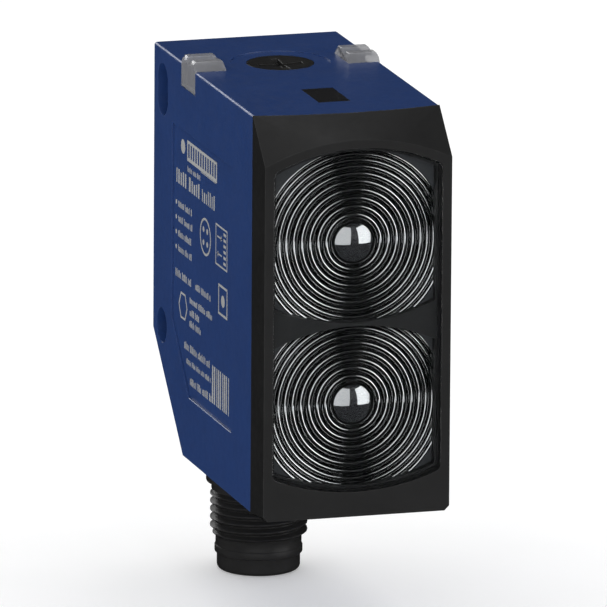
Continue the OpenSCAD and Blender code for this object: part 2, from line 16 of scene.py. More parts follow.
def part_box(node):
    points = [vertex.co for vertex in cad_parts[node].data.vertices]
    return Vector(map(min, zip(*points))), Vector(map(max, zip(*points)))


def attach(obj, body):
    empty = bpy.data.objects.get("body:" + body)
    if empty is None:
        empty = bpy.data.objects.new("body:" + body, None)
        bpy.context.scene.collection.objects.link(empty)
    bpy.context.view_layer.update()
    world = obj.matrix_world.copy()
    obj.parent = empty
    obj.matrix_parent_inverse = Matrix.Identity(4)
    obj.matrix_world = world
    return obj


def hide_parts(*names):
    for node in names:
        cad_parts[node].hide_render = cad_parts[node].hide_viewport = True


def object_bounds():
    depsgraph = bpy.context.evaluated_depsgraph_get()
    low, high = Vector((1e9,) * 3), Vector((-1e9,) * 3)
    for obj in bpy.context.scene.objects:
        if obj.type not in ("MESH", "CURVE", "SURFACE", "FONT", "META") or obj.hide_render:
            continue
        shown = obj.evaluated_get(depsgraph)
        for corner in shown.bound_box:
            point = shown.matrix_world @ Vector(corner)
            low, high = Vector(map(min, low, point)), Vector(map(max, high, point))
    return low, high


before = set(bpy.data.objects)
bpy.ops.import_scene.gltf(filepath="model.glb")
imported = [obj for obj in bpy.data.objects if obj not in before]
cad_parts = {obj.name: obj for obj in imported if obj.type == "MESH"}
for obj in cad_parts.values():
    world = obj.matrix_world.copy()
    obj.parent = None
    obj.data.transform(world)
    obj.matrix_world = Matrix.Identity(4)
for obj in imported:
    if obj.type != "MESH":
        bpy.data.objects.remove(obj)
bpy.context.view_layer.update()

MM = 0.001
HOUSING_LOW, HOUSING_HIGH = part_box("housing")
HALF_W = HOUSING_HIGH.x / MM
HEIGHT = (HOUSING_HIGH.z - HOUSING_LOW.z) / MM
DEPTH = 42.3
BASE = Vector((0, HOUSING_HIGH.y - DEPTH * MM, HOUSING_LOW.z))
FRONT_Y = (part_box("front_bezel")[0].y - BASE.y) / MM


def at(point):
    """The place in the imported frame, in metres, of a point in millimetres."""
    return BASE + Vector(point) * MM


def in_mm(point):
    """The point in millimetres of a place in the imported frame."""
    return (point - BASE) / MM


def turns(sides):
    """Angles that part a full turn evenly."""
    return [2 * math.pi * i / sides for i in range(sides)]


def ring(r, sides):
    """Corners of a regular polygon about the origin."""
    return [(r * math.cos(t), r * math.sin(t)) for t in turns(sides)]


# ---- Materials ----

NOISE_RANGE = (0.3, 0.7)
# Cosine between the rounded and the true normal, on open faces and on a worn edge
OPEN_COS, EDGE_COS = 0.995, 0.85
WEAR_WIDTH = 0.22
WEAR_PATCH = 1.6
WEAR_MOST = 0.8
# Sizes of the flecks in the colour and in the gloss, as multiples of the grain
FLECK_GRAINS, GLOSS_GRAINS = 4, 9
FLECK_MOST = 0.35
GLOSS_RANGE = (0.88, 1.14)
# What a clear sheet mirrors when seen square on, and the power by which that grows at a slant
MIRROR_LEAST = 0.035
MIRROR_POWER = 5.0


def graph(name):
    """A new material with its node adder, linker and shader."""
    mat = bpy.data.materials.new(name)
    mat.use_nodes = True
    tree = mat.node_tree
    return mat, tree.nodes.new, tree.links.new, tree.nodes["Principled BSDF"]


def filled(node, **values):
    """Sets inputs of a node by name, with _ for a space, and returns the node."""
    for name, value in values.items():
        node.inputs[name.replace("_", " ")].default_value = value
    return node


def noise(add, link, size_mm, detail=3.0, roughness=0.55, stretch=None):
    """A noise whose features are about size_mm across, in the frame's own coordinates."""
    place = add("ShaderNodeTexCoord").outputs["Object"]
    if stretch:
        mapping = filled(add("ShaderNodeMapping"), Scale=stretch)
        link(place, mapping.inputs["Vector"])
        place = mapping.outputs["Vector"]
    tex = filled(add("ShaderNodeTexNoise"), Scale=1 / (size_mm * MM), Detail=detail,
                 Roughness=roughness)
    link(place, tex.inputs["Vector"])
    return tex.outputs["Fac"]


def spread(add, link, value, low, high):
    """Maps the middle range of a noise to low .. high."""
    node = filled(add("ShaderNodeMapRange"), From_Min=NOISE_RANGE[0], From_Max=NOISE_RANGE[1],
                  To_Min=low, To_Max=high)
    link(value, node.inputs["Value"])
    return node.outputs["Result"]


def edge_mask(add, link, radius_mm):
    """1 within radius_mm of an edge and 0 on open faces."""
    bevel = filled(add("ShaderNodeBevel"), Radius=radius_mm * MM)
    bevel.samples = 4
    dot = add("ShaderNodeVectorMath")
    dot.operation = "DOT_PRODUCT"
    link(bevel.outputs["Normal"], dot.inputs[0])
    link(add("ShaderNodeNewGeometry").outputs["Normal"], dot.inputs[1])
    mask = filled(add("ShaderNodeMapRange"), From_Min=OPEN_COS, From_Max=EDGE_COS)
    link(dot.outputs["Value"], mask.inputs["Value"])
    return mask.outputs["Result"]


def mixed(add, link, factor, first, second):
    """Mix of two colours, each a plain colour or a socket."""
    node = add("ShaderNodeMix")
    node.data_type = "RGBA"
    link(factor, node.inputs["Factor"])
    for name, colour in (("A", first), ("B", second)):
        socket = [s for s in node.inputs if s.name == name and s.type == "RGBA"][0]
        if isinstance(colour, tuple):
            socket.default_value = (*colour, 1)
        else:
            link(colour, socket)
    return [s for s in node.outputs if s.type == "RGBA"][0]


def surface(name, colour, rough, grain=0.14, bump=0.004, blotch=0.1, blotch_size=7.0, wear=None,
            stretch=None, **constants):
    """A procedural surface: slow blotches and fine flecks in its colour, flecks in its gloss, and a
    grain of grain mm, bump mm high. wear is the colour of rubbed edges, and constants go on the
    shader."""
    mat, add, link, shader = graph(name)
    dark, light, fleck = (tuple(c * (1 + k * blotch) for c in colour) for k in (-1, 1, 2))
    slow = spread(add, link, noise(add, link, blotch_size), 0, 1)
    body = mixed(add, link, slow, dark, light)
    flecks = noise(add, link, grain * FLECK_GRAINS, 5.0, 0.7, stretch)
    body = mixed(add, link, spread(add, link, flecks, 0, FLECK_MOST), body, fleck)
    gloss = noise(add, link, grain * GLOSS_GRAINS, 4.0, 0.6, stretch)
    gloss = spread(add, link, gloss, rough * GLOSS_RANGE[0], rough * GLOSS_RANGE[1])
    if wear:
        rubbed = add("ShaderNodeMath")
        rubbed.operation = "MULTIPLY"
        link(edge_mask(add, link, WEAR_WIDTH), rubbed.inputs[0])
        patches = noise(add, link, WEAR_PATCH, 5.0, 0.7)
        link(spread(add, link, patches, 0, WEAR_MOST), rubbed.inputs[1])
        body = mixed(add, link, rubbed.outputs["Value"], body, wear)
    link(body, shader.inputs["Base Color"])
    link(gloss, shader.inputs["Roughness"])
    relief = filled(add("ShaderNodeBump"), Strength=1.0, Distance=bump * MM)
    link(noise(add, link, grain, 3.0, 0.6, stretch), relief.inputs["Height"])
    link(relief.outputs["Normal"], shader.inputs["Normal"])
    filled(shader, **constants)
    return mat


def moulded(name, colour, rough, level, **more):
    """A surface with its own specular level."""
    return surface(name, colour, rough, Specular_IOR_Level=level, **more)


def pane(name, tint):
    """Clear sheet: see-through where it mirrors nothing, its tint and gloss faintly smeared."""
    mat, add, link, shader = graph(name)
    smear = spread(add, link, noise(add, link, 6.0, 4.0, 0.6), 0, 1)
    clear = add("ShaderNodeBsdfTransparent")
    link(mixed(add, link, smear, tuple(c * 0.985 for c in tint), tint), clear.inputs["Color"])
    filled(shader, Metallic=1.0)
    link(mixed(add, link, smear, (0.9, 0.9, 0.9), (1.0, 1.0, 1.0)), shader.inputs["Base Color"])
    link(spread(add, link, noise(add, link, 2.5), 0.012, 0.03), shader.inputs["Roughness"])
    facing = filled(add("ShaderNodeLayerWeight"), Blend=0.5)
    power = add("ShaderNodeMath")
    power.operation = "POWER"
    power.inputs[1].default_value = MIRROR_POWER
    link(facing.outputs["Facing"], power.inputs[0])
    share = filled(add("ShaderNodeMapRange"), To_Min=MIRROR_LEAST)
    link(power.outputs["Value"], share.inputs["Value"])
    blend = add("ShaderNodeMixShader")
    link(share.outputs["Result"], blend.inputs["Fac"])
    link(clear.outputs["BSDF"], blend.inputs[1])
    link(shader.outputs["BSDF"], blend.inputs[2])
    link(blend.outputs["Shader"], mat.node_tree.nodes["Material Output"].inputs["Surface"])
    return mat


# One finish for each material slot of the CAD model
FINISH = {
    "blue_plastic": moulded("blue_plastic", (0.0155, 0.046, 0.17), 0.36, 0.35, blotch=0.05,
                            wear=(0.035, 0.075, 0.22)),
    "black_plastic": moulded("black_plastic", (0.0165, 0.0165, 0.0168), 0.42, 0.12, grain=0.16,
                             bump=0.005, wear=(0.045, 0.045, 0.045)),
    "clear_pane": pane("clear_pane", (0.955, 0.965, 0.97)),
    "lens_plastic": surface("lens_plastic", (0.054, 0.055, 0.059), 0.03, grain=1.5, bump=0.0,
                            blotch=0.06, IOR=4.6),
    "circuit_board": surface("circuit_board", (0.012, 0.085, 0.035), 0.3, grain=0.5, blotch=0.2),
    "lamp": surface("lamp", (0.8, 0.8, 0.7), 0.15, grain=0.3, blotch=0.06, Coat_Weight=0.5),
    "chip": surface("chip", (0.018, 0.018, 0.019), 0.5, grain=0.1, bump=0.004),
    "capacitor": surface("capacitor", (0.42, 0.3, 0.18), 0.35, grain=0.2, blotch=0.15),
    "light_pipe": surface("light_pipe", (0.31, 0.315, 0.335), 0.12, grain=0.5, bump=0.003,
                          blotch=0.1, blotch_size=2.0, Alpha=0.62, IOR=1.5),
    "dark_insert": surface("dark_insert", (0.02, 0.02, 0.021), 0.22, grain=0.4, bump=0.001),
    "trimmer": surface("trimmer", (0.02, 0.09, 0.3), 0.35, grain=0.2),
    "rotor": surface("rotor", (0.66, 0.63, 0.55), 0.45, grain=0.2),
    "adjuster": moulded("adjuster", (0.02, 0.0195, 0.019), 0.38, 0.3, grain=0.14,
                        wear=(0.04, 0.04, 0.04)),
    "rubber": surface("rubber", (0.009, 0.009, 0.009), 0.7, grain=0.12, bump=0.006),
    "spring_steel": surface("spring_steel", (0.55, 0.55, 0.57), 0.25, grain=0.1,
                            stretch=(1, 1, 6), Metallic=1.0),
    "plug_plastic": moulded("plug_plastic", (0.021, 0.0207, 0.0207), 0.42, 0.15, grain=0.15,
                            wear=(0.04, 0.04, 0.04)),
    "carrier": surface("carrier", (0.016, 0.016, 0.017), 0.5, grain=0.15),
    "contact": surface("contact", (0.82, 0.58, 0.2), 0.2, grain=0.12, bump=0.002,
                       stretch=(1, 1, 5), Metallic=1.0),
    "lead": surface("lead", (0.1, 0.045, 0.025), 0.45, grain=0.2),
}
# Finishes of parts of a piece. The lens's channels get painted shade, and the parts inside the
# window get a lighter black that is painted light lifting their shade
INK = surface("label_ink", (0.33, 0.335, 0.33), 0.55, grain=0.1, bump=0.001, blotch=0.12)
# Painted shade: the lens's channels are coloured darker than its rings, standing in for the shade
# down in them
GROOVE_SHADE = surface("lens_groove_painted_shade", (0.008, 0.0082, 0.0086), 0.4, grain=0.3, bump=0.001, IOR=1.3)
RING = surface("lens_ring", (0.02, 0.0203, 0.021), 0.05, grain=1.5, bump=0.0, IOR=7.5)
# Painted light: a lighter copy of the black plastic for the mask and optics block, lifting the
# shade they sit in behind the window
MASK_PAINTED_LIGHT = moulded("mask_plastic_painted_light", (0.028, 0.028, 0.0285), 0.42, 0.12, grain=0.16, bump=0.005)
RIM = surface("lens_rim", (0.05, 0.052, 0.056), 0.5, grain=0.3, bump=0.002, IOR=1.3)


# ---- Meshes ----

# Vertices nearer than this are one, in mm, and faces that turn less than this are one, in degrees
WELD_DIST = 0.002
WELD_ANGLE = 0.3


def link_object(name, mesh, materials, body, replaced=(), smooth=32):
    """Puts a finished mesh into the scene as a piece that rides on a body."""
    for mat in materials:
        mesh.materials.append(mat)
    mesh.shade_smooth()
    mesh.set_sharp_from_angle(angle=math.radians(smooth))
    obj = bpy.data.objects.new(name, mesh)
    bpy.context.scene.collection.objects.link(obj)
    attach(obj, body)
    if replaced:
        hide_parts(*replaced)
    return obj


def welded(node):
    """A bmesh of a CAD node with its vertices welded and its flat faces joined."""
    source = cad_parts[node].data
    mesh = bpy.data.meshes.new(node + "_copy")
    mesh.from_pydata([v.co[:] for v in source.vertices], [],
                     [p.vertices[:] for p in source.polygons])
    bm = bmesh.new()
    bm.from_mesh(mesh)
    bpy.data.meshes.remove(mesh)
    bmesh.ops.remove_doubles(bm, verts=bm.verts, dist=WELD_DIST * MM)
    bmesh.ops.dissolve_limit(bm, angle_limit=math.radians(WELD_ANGLE), verts=bm.verts,
                             edges=bm.edges)
    return bm


def rounded(bm, width, segments, pick, least=25):
    """Rounds the edges sharper than least degrees that pick, given middle and direction, takes."""
    chosen = []
    for edge in bm.edges:
        if len(edge.link_faces) == 2 and math.degrees(edge.calc_face_angle(0)) > least:
            a, b = (in_mm(v.co) for v in edge.verts)
            if pick((a + b) / 2, (b - a).normalized()):
                chosen.append(edge)
    if chosen:
        bmesh.ops.bevel(bm, geom=chosen, offset=width * MM, offset_type="OFFSET", segments=segments,
                        profile=0.5, affect="EDGES", clamp_overlap=True)


def finished(bm, name, slot, body, nodes, smooth=32):
    """Makes a reworked CAD mesh a piece whose broad faces look flat beside their rounded edges."""
    mesh = bpy.data.meshes.new(name)
    bm.to_mesh(mesh)
    bm.free()
    obj = link_object(name, mesh, [FINISH[slot]], body, nodes, smooth)
    modifier = obj.modifiers.new("weighted", "WEIGHTED_NORMAL")
    modifier.keep_sharp = True
    modifier.weight = 60


def outward(name, points, faces, kinds=None, weld=None):
    """A mesh from points in mm with its faces turned outward. kinds holds each face's material, and
    points nearer than weld mm become one."""
    mesh = bpy.data.meshes.new(name)
    mesh.from_pydata([at(p)[:] for p in points], [], faces)
    if kinds:
        mesh.polygons.foreach_set("material_index", kinds)
    bm = bmesh.new()
    bm.from_mesh(mesh)
    if weld:
        bmesh.ops.remove_doubles(bm, verts=bm.verts, dist=weld * MM)
    bmesh.ops.recalc_face_normals(bm, faces=bm.faces)
    bm.to_mesh(mesh)
    bm.free()
    return mesh


def near(value, target, slack=0.02):
    return abs(value - target) < slack


def within(value, span, slack):
    return span[0] - slack < value < span[1] + slack


def along_y(direction):
    return abs(direction.y) > 0.99


# ---- Housing ----

PIPE_Y = (24.5, 30.6)
PIPE_IN = 7.7
PIPE_LOW = 45.95
LABEL_Y = (8.4, 34.3)
LABEL_Z = (7.8, 40.6)
LABEL_DEEP = 0.25
ADJUSTER_Y = 27.7
DISH_R = 6.1
# Edges this near the seam with the front cover stay sharp
SEAM_Y = 0.3


def in_label(p):
    return (p.x < -HALF_W + LABEL_DEEP + 0.05 and within(p.y, LABEL_Y, 0.1)
            and within(p.z, LABEL_Z, 0.1))


def by_pipe(p):
    return p.z > PIPE_LOW - 0.15 and within(p.y, PIPE_Y, 0.2) and abs(p.x) > PIPE_IN - 0.2


def outer_edge(p, d):
    """Takes the housing's outer edges, except at the seam, the label recess and the light pipes."""
    side, foot = near(abs(p.x), HALF_W), near(p.z, 0)
    plain = not in_label(p) and not by_pipe(p) and abs(d.y) < 0.999
    return p.y > SEAM_Y and ((side or foot or near(p.y, DEPTH)) and plain or side and foot)


def make_housing():
    bm = welded("housing")
    rounded(bm, 0.05, 1, lambda p, d: in_label(p) and near(p.x, -HALF_W))
    rounded(bm, 0.06, 2, lambda p, d: near(p.z, HEIGHT)
            and near(math.hypot(p.x, p.y - ADJUSTER_Y), DISH_R, 0.1))
    rounded(bm, 0.2, 3, outer_edge)
    finished(bm, "housing_shell", "blue_plastic", "sensor", ["housing"])


# ---- Front cover and window ----

WINDOW_HALF = 10.55
WINDOW_LOW, WINDOW_HIGH = 3.06, 45.36
WINDOW_RISES = (2.14, 2.46)
WINDOW_CORNER = 0.6
WINDOW_EDGE = 0.07
# Behind this the cover's opening is the ledge of the pane, which keeps its sharp corners
LEDGE_Y = -3.5
# Heights outside which an edge of the front face is an outer one, and inside which it may be the
# opening's
OUTER_Z = (1.0, 45.5)
OPENING_Z = (0.9, 45.45)


def make_front():
    bm = welded("front_bezel")
    rounded(bm, WINDOW_CORNER, 6, lambda p, d: along_y(d) and near(abs(p.x), WINDOW_HALF, 0.03)
            and p.y < LEDGE_Y)
    rounded(bm, 0.12, 3, lambda p, d: near(p.y, FRONT_Y) and (abs(p.x) > WINDOW_HALF + 0.5
            or p.z < OUTER_Z[0] or p.z > OUTER_Z[1]), least=15)
    rounded(bm, WINDOW_EDGE, 2, lambda p, d: near(p.y, FRONT_Y) and abs(p.x) < WINDOW_HALF + 0.1
            and within(p.z, OPENING_Z, 0), least=60)
    finished(bm, "front_cover", "black_plastic", "sensor", ["front_bezel"], smooth=24)
    bm = welded("front_window")
    rounded(bm, WINDOW_CORNER, 6, lambda p, d: along_y(d) and near(abs(p.x), WINDOW_HALF, 0.03))
    rounded(bm, WINDOW_EDGE, 2, lambda p, d: near(p.y, FRONT_Y), least=60)
    finished(bm, "window_pane", "clear_pane", "sensor", ["front_window"])


# ---- Lenses ----

LENS_HEIGHTS = {"emitter_lens": 33.42, "receiver_lens": 13.51}
LENS_W = 20.04
LENS_INSET = 0.53
LENS_SPLIT = 23.5
SPLIT_GAP = 0.23
SPLIT_RISE = 2.2
GROOVE_Y = -3.45
LENS_BACK = -0.6
DOME_R = 2.35
DOME_H = 0.64
RING_COUNT = 10
RING_PITCH = 1.02
RING_AREA = 15.2
LENS_SIDES = 360
# Each ring, from the inside out: a channel, a plateau between two shares of its width, a channel,
# and a bead that spans a tilt in degrees to either side
CHANNEL_DEEP = 0.34
PLATEAU = (0.37, 0.66)
PLATEAU_ROUND = 0.03
PLATEAU_TILT = 70
BEAD_R = 0.22
BEAD_TILT = 38
# Width of the steep walls, and of the step beside the dome
STEEP = 0.02
DOME_STEP = 0.05
# A radius past every lens's outline
RIM_R = 40.0
# Materials of the face, by their place in make_lens; the channels' one is painted shade
DOME_MAT, GROOVE_SHADE_MAT, RIM_MAT, RING_MAT = range(4)


def ring_radii():
    """Radii of the dome and of the beads: evenly apart at first, then in rings of equal area."""
    radii = [DOME_R]
    for _ in range(RING_COUNT):
        last = radii[-1]
        radii.append(min(last + RING_PITCH, math.sqrt(last * last + RING_AREA)))
    return radii


def arc_points(centre, radius, first, last, count):
    """Points of a profile arc; angles are of its normal from the front, in degrees, outward."""
    angles = [math.radians(first + (last - first) * i / count) for i in range(count + 1)]
    return [(centre[0] + radius * math.sin(a), centre[1] + radius * math.cos(a)) for a in angles]


def lens_profile():
    """Distance from the axis, height and material of the face, from the dome out."""
    sphere = (DOME_R ** 2 + DOME_H ** 2) / (2 * DOME_H)
    dome_tilt = math.degrees(math.asin(DOME_R / sphere))
    points = [(*p, DOME_MAT) for p in arc_points((0, DOME_H - sphere), sphere, 0, dome_tilt, 24)]
    half = BEAD_R * math.sin(math.radians(BEAD_TILT))
    land = BEAD_R * math.cos(math.radians(BEAD_TILT)) - BEAD_R
    crown = land - PLATEAU_ROUND
    radii = ring_radii()
    for low, high in zip(radii, radii[1:]):
        start, end = (low + share * (high - low) for share in PLATEAU)
        foot = low + (DOME_STEP if low == DOME_R else half + STEEP)
        points += [(foot, -CHANNEL_DEEP, GROOVE_SHADE_MAT),
                   (start - PLATEAU_ROUND - STEEP, -CHANNEL_DEEP, GROOVE_SHADE_MAT),
                   (start - PLATEAU_ROUND, crown - PLATEAU_ROUND, GROOVE_SHADE_MAT)]
        plateau = arc_points((start, crown), PLATEAU_ROUND, -PLATEAU_TILT, 0, 6) \
            + arc_points((end, crown), PLATEAU_ROUND, 0, PLATEAU_TILT, 6)
        points += [(*p, RING_MAT) for p in plateau]
        points += [(end + PLATEAU_ROUND + STEEP, -CHANNEL_DEEP, GROOVE_SHADE_MAT),
                   (high - half - STEEP, -CHANNEL_DEEP, GROOVE_SHADE_MAT),
                   (high - half, land, GROOVE_SHADE_MAT)]
        bead = arc_points((high, -BEAD_R), BEAD_R, -BEAD_TILT, BEAD_TILT, 12)
        points += [(*p, RING_MAT) for p in bead[1:]]
    return points + [(points[-1][0] + 0.01, land - 0.02, RIM_MAT), (RIM_R, land - 0.02, RIM_MAT)]


def barrel_reach(name, angle):
    """Distance from the lens axis to its outline in the direction of angle."""
    if name == "emitter_lens":
        arcs = ((LENS_SPLIT + SPLIT_GAP, SPLIT_RISE, 1),
                (WINDOW_HIGH - LENS_INSET, WINDOW_RISES[1], -1))
    else:
        arcs = ((WINDOW_LOW + LENS_INSET, WINDOW_RISES[0], 1),
                (LENS_SPLIT - SPLIT_GAP, SPLIT_RISE, -1))
    dx, dz = math.cos(angle), math.sin(angle)
    reach = LENS_W / 2 / max(abs(dx), 1e-9)
    for edge, rise, side in arcs:
        r = ((LENS_W / 2) ** 2 + rise ** 2) / (2 * rise)
        centre = edge + side * r - LENS_HEIGHTS[name]
        middle = dz * centre
        root = middle ** 2 - centre ** 2 + r ** 2
        reach = min(reach, middle + math.sqrt(max(root, 0)))
    return reach


def make_lens(name):
    """A lens whose turned face is cut off at its outline, with a flat back."""
    axis_z = LENS_HEIGHTS[name]
    profile = lens_profile()[1:]
    count = len(profile)
    radii = np.array([p[0] for p in profile])
    heights = np.array([p[1] for p in profile])
    verts, faces, kinds = [(0, GROOVE_Y - DOME_H, axis_z)], [], []
    columns = []
    for angle in turns(LENS_SIDES):
        reach = barrel_reach(name, angle)
        r = np.minimum(radii, reach)
        h = np.where(radii <= reach, heights, np.interp(reach, radii, heights))
        columns.append(len(verts))
        verts += [(a * math.cos(angle), GROOVE_Y - b, axis_z + a * math.sin(angle))
                  for a, b in zip(r, h)]
        verts.append((reach * math.cos(angle), LENS_BACK, axis_z + reach * math.sin(angle)))
    for a, b in zip(columns, columns[1:] + columns[:1]):
        faces.append((0, a, b))
        kinds.append(DOME_MAT)
        for k in range(count):
            faces.append((a + k, a + k + 1, b + k + 1, b + k))
            kinds.append(profile[k + 1][2] if k + 1 < count else DOME_MAT)
    faces.append([c + count for c in reversed(columns)])
    kinds.append(DOME_MAT)
    mesh = outward(name + "_face", verts, faces, kinds, weld=0.001)
    link_object(name + "_face", mesh, [FINISH["lens_plastic"], GROOVE_SHADE, RIM, RING], "sensor",
                [name], smooth=20)


# ---- Top ----

PIPE_SEAT = HEIGHT - 0.5
KNOB_DEEP = 1.1


def make_top():
    for node in ("light_pipe_left", "light_pipe_right"):
        bm = welded(node)
        rounded(bm, 0.14, 3, lambda p, d: p.z > PIPE_LOW - 0.05 and not near(p.z, PIPE_SEAT, 0.01),
                least=12)
        finished(bm, node + "_bar", "light_pipe", "sensor", [node], smooth=40)
    bm = welded("top_window")
    rounded(bm, 0.05, 2, lambda p, d: near(p.z, HEIGHT))
    finished(bm, "top_insert", "dark_insert", "sensor", ["top_window"])
    bm = welded("range_adjuster")
    rounded(bm, 0.09, 3, lambda p, d: p.z > HEIGHT - KNOB_DEEP, least=30)
    finished(bm, "adjuster_knob", "adjuster", "adjuster", ["range_adjuster"])


# ---- Plug ----

PLUG_Y = 35.7
SWIVEL_Z = 6.6
SWIVEL_GAP = 0.15
PLUG_SIDES = 144
THREAD_R = 6.0
THREAD_ROOT = 5.39
THREAD_PITCH = 1.0
THREAD_FROM = -12.2
THREAD_TO = -6.5
THREAD_STEP = 0.0625
# Half width of a thread's foot and width of its flank, as shares of the pitch
THREAD_FOOT = 0.44
THREAD_FLANK = 0.375
THREAD_FADE = 0.5
COLLAR_R = 6.5
TIP_R = 5.13
TIP_ROUND = 0.6
MOUTH_ROUND = 0.25
CUP_R = 4.25
CUP_TOP = -7.5
TIP = in_mm(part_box("connector_shell")[0]).z
KEY_R = 0.65
KEY_LONG = 6.5
# Key's foot sunk in the cup's wall
KEY_SUNK = 0.1
HUB_SIDES = 96
HUB_R = 3.6
HUB_SEAL_R = 3.05
HUB_CLIP_R = 3.2


def thread_radius(z, turn):
    """Radius of the helical M12x1 thread at a height, fading out at both ends."""
    phase = (z / THREAD_PITCH - turn) % 1.0
    rise = min(max((THREAD_FOOT - abs(phase - 0.5)) / THREAD_FLANK, 0.0), 1.0)
    fade = min(1.0, (z - THREAD_FROM) / THREAD_FADE, (THREAD_TO - z) / THREAD_FADE)
    return THREAD_ROOT + (THREAD_R - THREAD_ROOT) * rise * max(fade, 0.0)


def plug_rows():
    """Heights and radii of the plug's skin from the mouth's rim up; None marks the thread."""
    rows = [(TIP + MOUTH_ROUND * (1 - math.cos(a)), CUP_R + MOUTH_ROUND * (1 - math.sin(a)))
            for a in np.linspace(0, math.pi / 2, 5)[::-1]]
    rows += [(TIP + TIP_ROUND * (1 - math.cos(a)), TIP_R - TIP_ROUND * (1 - math.sin(a)))
             for a in np.linspace(0, math.pi / 2, 9)]
    # Ridge and neck below the thread
    rows += [(-14.5, TIP_R), (-14.42, 5.16), (-14.3, 5.4), (-14.25, 5.42), (-13.55, 5.42),
             (-13.5, 5.4), (-13.4, 5.32), (-13.35, 5.3), (-12.4, 5.3), (-12.3, 5.33)]
    rows += [(z, None) for z in np.arange(THREAD_FROM, THREAD_TO + 0.001, THREAD_STEP)]
    # Shoulder and collar above it
    rows += [(-6.42, 5.78), (-6.36, 5.85), (-5.5, 5.85), (-5.44, 5.9), (-5.4, 6.0), (-5.4, 6.38),
             (-5.36, 6.47), (-5.28, COLLAR_R), (-3.0, COLLAR_R)]
    return rows


def plug_ring(z, r):
    """Ring of the plug's skin at a height, of radius r or, for None, threaded."""
    points = []
    for i, t in enumerate(turns(PLUG_SIDES)):
        q = thread_radius(z, i / PLUG_SIDES) if r is None else r
        points.append((q * math.cos(t), PLUG_Y + q * math.sin(t), z))
    return points


def slanted_ring(r, below):
    """Ring, of radius r as seen from below, in the slanted plane at the housing or below it."""
    return [(x, y, y - PLUG_Y + SWIVEL_Z - (SWIVEL_GAP + below) * math.sqrt(2))
            for x, y, _ in plug_ring(0, r)]


def make_plug():
    verts, faces = [], []

    def tube(rings):
        """Joins rings of equal length by quads and closes both ends."""
        n = len(rings[0])
        starts = range(len(verts), len(verts) + n * len(rings), n)
        for points in rings:
            verts.extend(points)
        for a, b in zip(starts, starts[1:]):
            for i in range(n):
                j = (i + 1) % n
                faces.append((a + i, a + j, b + j, b + i))
        faces.append([starts[0] + i for i in reversed(range(n))])
        faces.append([starts[-1] + i for i in range(n)])

    tube([plug_ring(CUP_TOP, CUP_R), plug_ring(TIP + MOUTH_ROUND, CUP_R)]
         + [plug_ring(z, r) for z, r in plug_rows()]
         + [slanted_ring(COLLAR_R, 0.08), slanted_ring(6.46, 0.03), slanted_ring(6.38, 0.0)])

    # Hub that turns in the slanted wall, with the grooves of its clip and seal
    axis = Vector((0, 1, -1)).normalized()
    across = Vector((1, 0, 0))
    third = axis.cross(across)
    centre = Vector((0, PLUG_Y, SWIVEL_Z))
    hub = [(3.55, -3.7), (HUB_R, -3.65), (HUB_R, -3.15), (HUB_CLIP_R, -3.15), (HUB_CLIP_R, -2.55),
           (HUB_R, -2.55), (HUB_R, -1.8), (HUB_SEAL_R, -1.8), (HUB_SEAL_R, -1.05), (HUB_R, -1.05),
           (HUB_R, 0.6)]
    tube([[centre + axis * z + across * u + third * v for u, v in ring(r, HUB_SIDES)]
          for r, z in hub])

    # Key in the cup
    outline = [(KEY_R * math.cos(t), PLUG_Y - CUP_R - KEY_SUNK + (KEY_R + KEY_SUNK) * math.sin(t))
               for t in (math.pi * i / 12 for i in range(13))]
    tube([[(x, y, z) for x, y in outline] for z in (CUP_TOP - KEY_LONG, CUP_TOP)])

    mesh = outward("plug_shell", verts, faces)
    link_object("plug_shell", mesh, [FINISH["plug_plastic"]], "plug",
                ["connector_shell"], smooth=38)


# ---- Printed label: plain shapes only ----

# How far the print reaches into the label and stands proud of it
INK_SUNK, INK_PROUD = 0.01, 0.012


